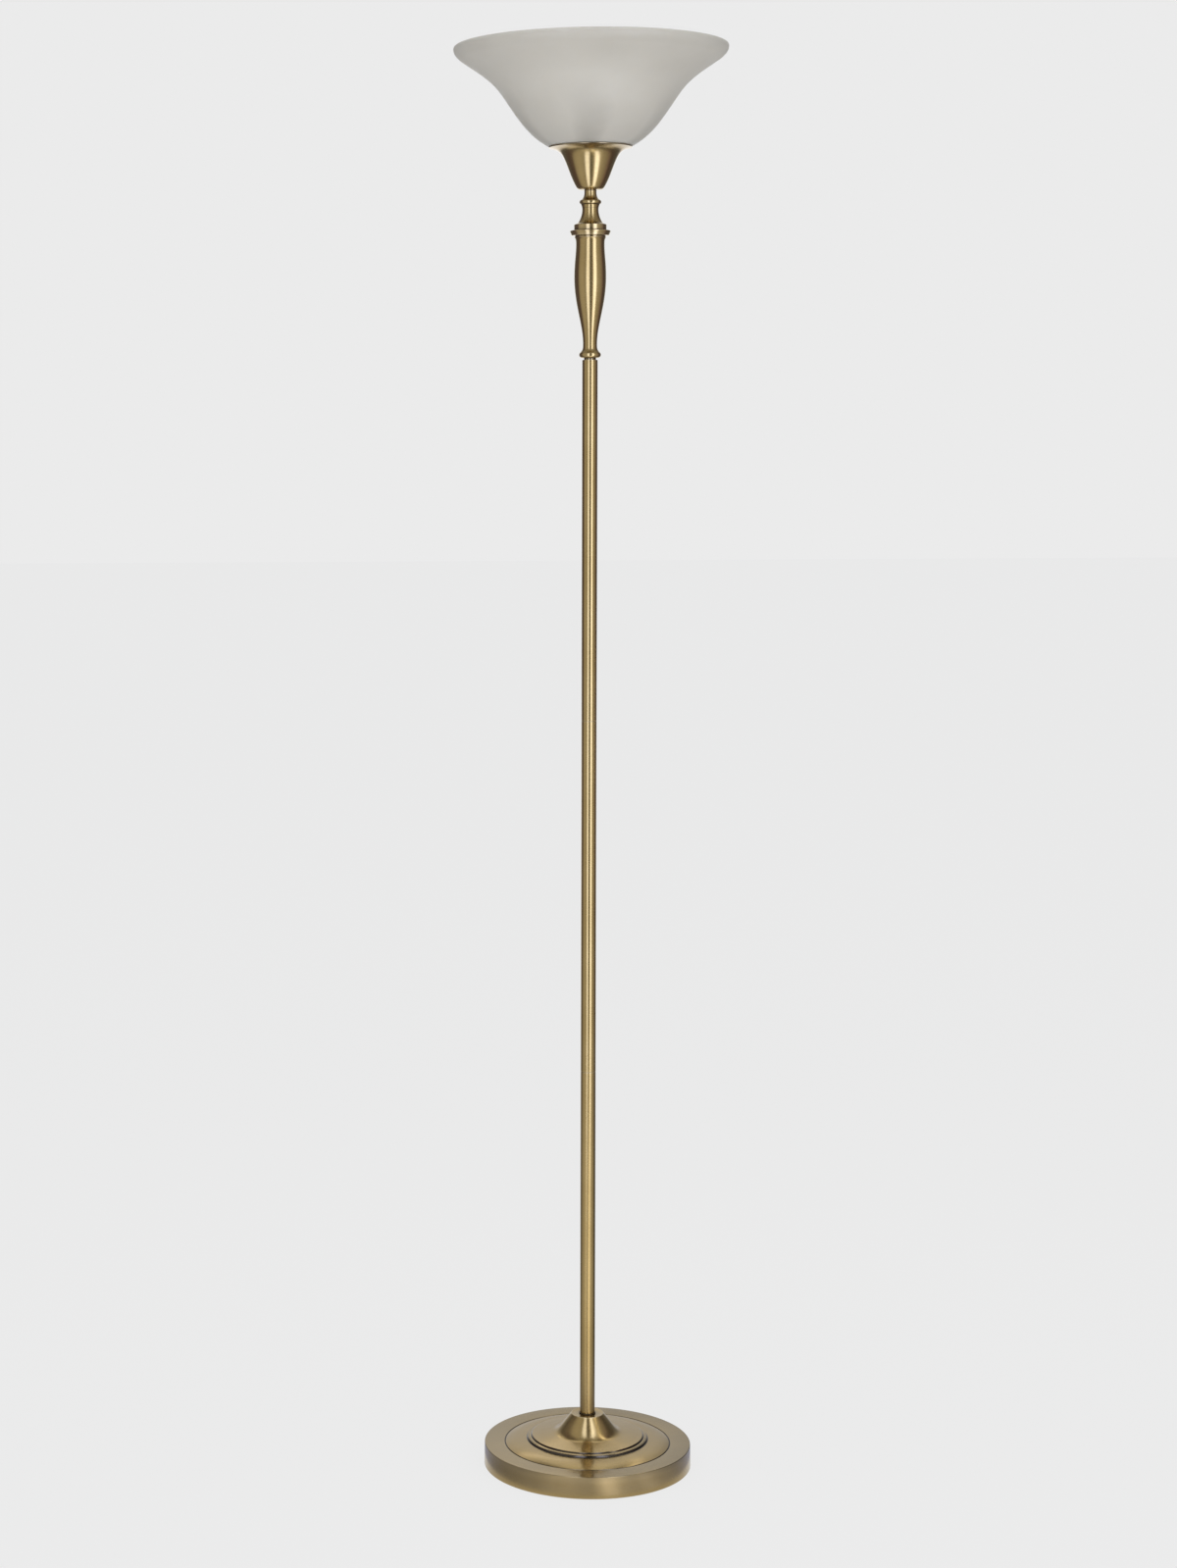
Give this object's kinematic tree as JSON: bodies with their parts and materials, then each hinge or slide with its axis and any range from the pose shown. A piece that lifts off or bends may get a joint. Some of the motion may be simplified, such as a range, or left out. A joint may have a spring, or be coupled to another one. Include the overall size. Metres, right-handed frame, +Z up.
{
  "type": "uplighter floor lamp",
  "caption": "Floor-standing uplighter: weighted stepped base, slim brass pole, turned spindle and flared cup with a lift-off bowl of satin glass round a screw-in lamp.",
  "frame": {"origin": "on the floor, under the middle of the base", "axes": "+Z up along the pole; +Y towards the back, where the cord inlet is; the picture looks along +Y"},
  "size_m": [0.3336, 0.3336, 1.78],
  "materials": {
    "antique_brass": "antique plated brass, satin, softly brushed and lacquered",
    "satin_glass": "acid-etched satin glass, warm light grey, translucent",
    "felt": "pressed black felt",
    "zinc_steel": "zinc-plated steel",
    "cast_iron": "black-painted rough casting",
    "black_rubber": "moulded, matt",
    "black_plastic": "moulded nylon",
    "pale_plastic": "moulded polyamide",
    "bright_brass": "bare machined brass",
    "green_insulation": "green and yellow PVC",
    "brown_insulation": "brown PVC",
    "blue_insulation": "blue PVC",
    "dark_washer": "dark bronzed steel",
    "clear_silicone": "translucent silicone",
    "white_moulding": "glossy white moulding",
    "porcelain": "glazed porcelain",
    "lamp_aluminium": "rolled thread, bright",
    "black_glass": "black vitrite",
    "tinned_contact": "soldered tip",
    "opal_glass": "opal glass, satin",
    "clear_glass": "clear glass",
    "lamp_wire": "drawn wire"
  },
  "bodies": {
    "stand": {"base_felt": "felt", "base_plate": "zinc_steel", "plate_screws": "zinc_steel", "base_weight": "cast_iron", "base_cover": "antique_brass", "base_hub": "antique_brass", "base_spacer": "zinc_steel", "base_rod": "zinc_steel", "base_washer": "zinc_steel", "base_spring_washer": "zinc_steel", "base_nut": "zinc_steel", "cord_inlet": "black_rubber", "cord_clamp": "black_plastic", "clamp_screws": "zinc_steel", "terminal_block": "pale_plastic", "block_screws": "zinc_steel", "terminal_barrels": "bright_brass", "terminal_screws": "zinc_steel", "earth_tag": "bright_brass", "earth_screw": "bright_brass", "earth_core": "green_insulation", "live_core": "brown_insulation", "neutral_core": "blue_insulation", "foot_washer": "dark_washer", "lower_tube": "antique_brass", "middle_tube": "antique_brass", "upper_tube": "antique_brass", "tube_inserts": "zinc_steel", "joining_studs": "zinc_steel", "spindle_body": "antique_brass", "spindle_disc": "antique_brass", "spindle_neck": "antique_brass", "spindle_rod": "zinc_steel", "shade_cup": "antique_brass", "cup_washer": "zinc_steel", "cup_nut": "zinc_steel", "shade_gasket": "clear_silicone", "holder_cap": "white_moulding", "holder_insulator": "porcelain", "holder_terminals": "bright_brass", "centre_contact": "bright_brass", "screw_shell": "bright_brass", "holder_skirt": "white_moulding"},
    "shade": {"glass_shade": "satin_glass"},
    "lamp": {"lamp_cap": "lamp_aluminium", "lamp_insulator": "black_glass", "lamp_contact": "tinned_contact", "lamp_globe": "opal_glass", "lamp_stem": "clear_glass", "lamp_filament": "lamp_wire"}
  },
  "joints": [
    {"name": "shade_lift", "type": "slide", "parent": "stand", "child": "shade", "axis": [0, 0, 1], "range_m": [0, 0.15]},
    {"name": "lamp_lift", "type": "slide", "parent": "stand", "child": "lamp", "axis": [0, 0, 1], "range_m": [0, 0.1]}
  ]
}
